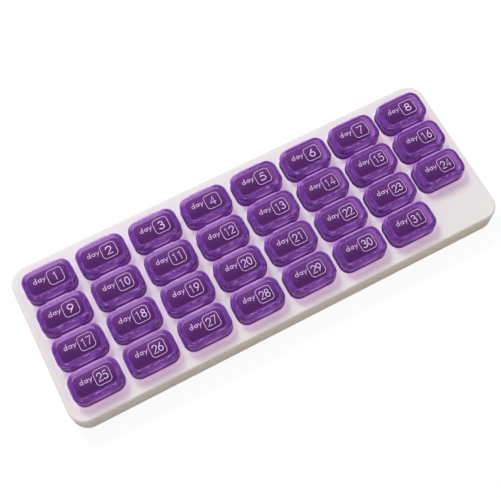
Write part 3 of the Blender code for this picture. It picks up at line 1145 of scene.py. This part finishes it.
# %% Camera
CAMERA_PLACE = (-0.09965, -0.19146, 0.57245)
CAMERA_TURN = (20.829, 0.494, -27.622)
FOCAL_LENGTH = 63.24
camera_data = bpy.data.cameras.new("camera")
camera_data.sensor_fit = "HORIZONTAL"
camera_data.sensor_width = 36
camera_data.lens = FOCAL_LENGTH
camera = bpy.data.objects.new("camera", camera_data)
camera.location = CAMERA_PLACE
camera.rotation_euler = [radians(angle) for angle in CAMERA_TURN]
bpy.context.scene.collection.objects.link(camera)
bpy.context.scene.camera = camera
print("the camera stands", round(camera.location.length, 3), "m from the tray's middle")

# %% [markdown]
# The floor looks white, and in light it is a warm pale board, which gives the tray's front wall
# its cream tone. What the camera sees of it is mostly a flat white, with a share of the lit floor
# left in, so that the tray still stands in a soft shadow.

# %% Floor
FLOOR_SIZE = 6
FLOOR_DROP = 0.2 * MM
FLAT_WHITE = 0.85
bpy.ops.object.select_all(action="DESELECT")
bpy.ops.mesh.primitive_plane_add(size=FLOOR_SIZE, location=(0, 0, -FLOOR_DROP))
floor = bpy.context.object
floor.name = "floor"
paper = new_material("pale_board_floor")
rays = add_node(paper, "ShaderNodeLightPath")
seen = calculate(paper, "MAXIMUM", rays.outputs["Is Camera Ray"], rays.outputs["Is Transmission Ray"])
matt = add_node(paper, "ShaderNodeBsdfDiffuse", values={"Color": linear("#DAD2C4")})
bright = add_node(paper, "ShaderNodeEmission", values={"Color": linear("#FDFDFF"), "Strength": 1.09})
mixed = add_node(paper, "ShaderNodeMixShader", links={
    0: both(paper, seen, FLAT_WHITE), 1: matt.outputs["BSDF"], 2: bright.outputs["Emission"]})
show_surface(paper, mixed.outputs["Shader"])
dress(floor, paper)

# %% [markdown]
# The room around is a soft light from every side: brightest overhead, a little brighter on the
# right, cooler behind the tray and warmer and dimmer in front. Reflections see less of it than
# matt surfaces do, so the violet stays deep, and the camera sees plain white.

# %% Room light
world = bpy.data.worlds.new("studio")
bpy.context.scene.world = world
world.use_nodes = True
world.node_tree.nodes.clear()
rays = add_node(world, "ShaderNodeLightPath")
direction = add_node(world, "ShaderNodeTexCoord").outputs["Generated"]
parts = split(world, direction)
height = calculate(world, "MULTIPLY_ADD", calculate(world, "MAXIMUM", parts["Z"], 0), 0.65, 0.55)
to_right = calculate(world, "MULTIPLY_ADD", parts["X"], 0.14, 1.0)
seen = spread(world, rays.outputs["Is Glossy Ray"], 0.76, 0.25)
room = add_node(world, "ShaderNodeBackground", links={
    "Color": blend_colours(world, spread(world, parts["Y"], 0, 1, -0.5, 0.3), "#E2D8CC", "#EEEFF6"),
    "Strength": both(world, both(world, seen, height), to_right)})
white = add_node(world, "ShaderNodeBackground", values={"Color": (1, 1, 1, 1), "Strength": 1.0})
mixed = add_node(world, "ShaderNodeMixShader", links={
    0: rays.outputs["Is Camera Ray"], 1: room.outputs["Background"], 2: white.outputs["Background"]})
show_surface(world, mixed.outputs["Shader"], "ShaderNodeOutputWorld")

# %% [markdown]
# A soft lamp high behind the tray throws the short shadows in front of the pods, and is kept out
# of reflections, where it would wash out the panels. A wide lower one, also behind the tray, is
# the opposite: it only makes reflections, and draws the light along the back edges of the lids.

# %% Lamps


def soft_lamp(name, place, width, height, power, colour):
    """A rectangular area lamp that looks at the middle of the tray."""
    data = bpy.data.lights.new(name, "AREA")
    data.shape = "RECTANGLE"
    data.size = width
    data.size_y = height
    data.energy = power
    data.color = linear(colour)[:3]
    lamp = bpy.data.objects.new(name, data)
    lamp.location = place
    lamp.rotation_euler = (-Vector(place)).to_track_quat("-Z", "Y").to_euler()
    bpy.context.scene.collection.objects.link(lamp)
    return lamp


key = soft_lamp("key", (-0.23, 1.30, 1.50), 0.35, 0.35, 25.0, "#FFFDFC")
key.visible_glossy = False
sheen = soft_lamp("low_back", (-0.18, 1.26, 0.80), 0.90, 1.25, 18.0, "#F4CEEE")
sheen.visible_diffuse = False
bpy.context.scene.view_settings.view_transform = "Standard"
print(key.name, "has", key.data.energy, "W and", sheen.name, "has", sheen.data.energy, "W")

# %% Update the scene and finish
bpy.context.view_layer.update()
